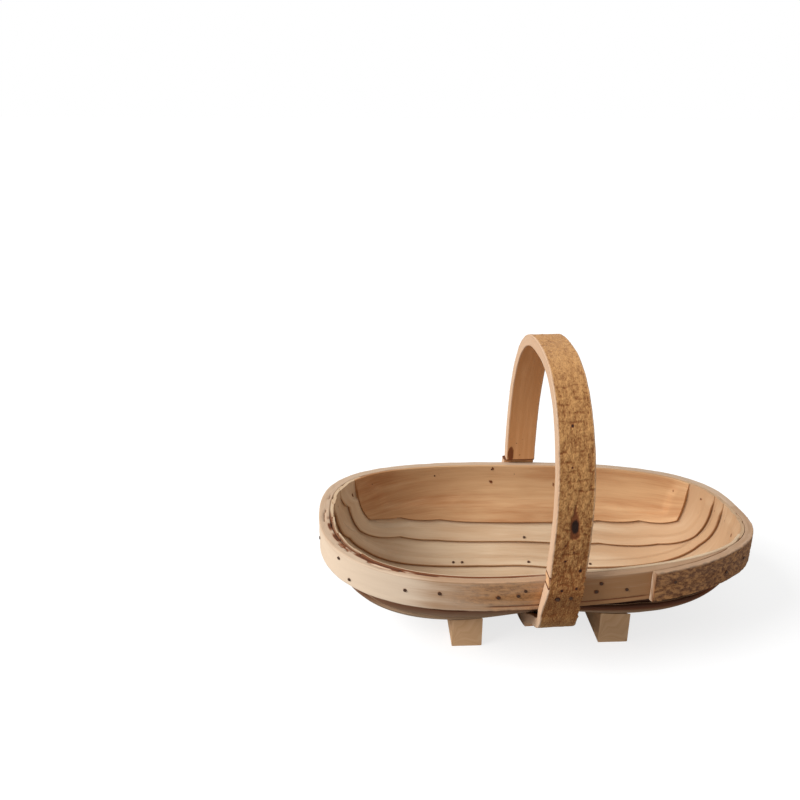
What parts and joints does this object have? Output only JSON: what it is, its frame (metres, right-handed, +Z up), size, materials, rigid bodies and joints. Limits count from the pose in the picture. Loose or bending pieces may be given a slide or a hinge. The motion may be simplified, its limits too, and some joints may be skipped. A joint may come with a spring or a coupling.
{
  "type": "trug basket",
  "caption": "Shallow oval wooden trug of overlapping thin boards in a bent rim hoop, with a bent hoop handle over the middle and two cross feet.",
  "frame": {"origin": "on the ground plane under the middle of the rim's length and width, between the feet", "axes": "+X along the basket's length, +Y across it away from the side where the rim strip's outer end shows, +Z up"},
  "size_m": [0.3507, 0.2145, 0.2347],
  "materials": {
    "rim_wood": "cleft and planed hardwood strip, bark side out, unvarnished",
    "handle_wood": "cleft hardwood strip with pale planed edges, unvarnished",
    "board_wood": "thin cleft boards with long grain, unvarnished",
    "foot_wood": "sawn bar with end grain showing, unvarnished",
    "nail_steel": "dull dark flat-headed nails"
  },
  "bodies": {
    "root": {"rim_hoop": "rim_wood", "handle_hoop": "handle_wood", "centre_board": "board_wood", "lower_board_front": "board_wood", "lower_board_back": "board_wood", "middle_board_front": "board_wood", "middle_board_back": "board_wood", "side_board_front": "board_wood", "side_board_back": "board_wood", "foot_left": "foot_wood", "foot_right": "foot_wood", "rim_lap_nails": "nail_steel", "handle_rim_nails_front": "nail_steel", "handle_rim_nails_back": "nail_steel", "handle_lap_nails": "nail_steel", "board_handle_nails": "nail_steel", "board_rim_nails_left": "nail_steel", "board_rim_nails_right": "nail_steel", "side_board_nails_front": "nail_steel", "side_board_nails_back": "nail_steel", "foot_nails_left": "nail_steel", "foot_nails_right": "nail_steel"}
  },
  "joints": []
}
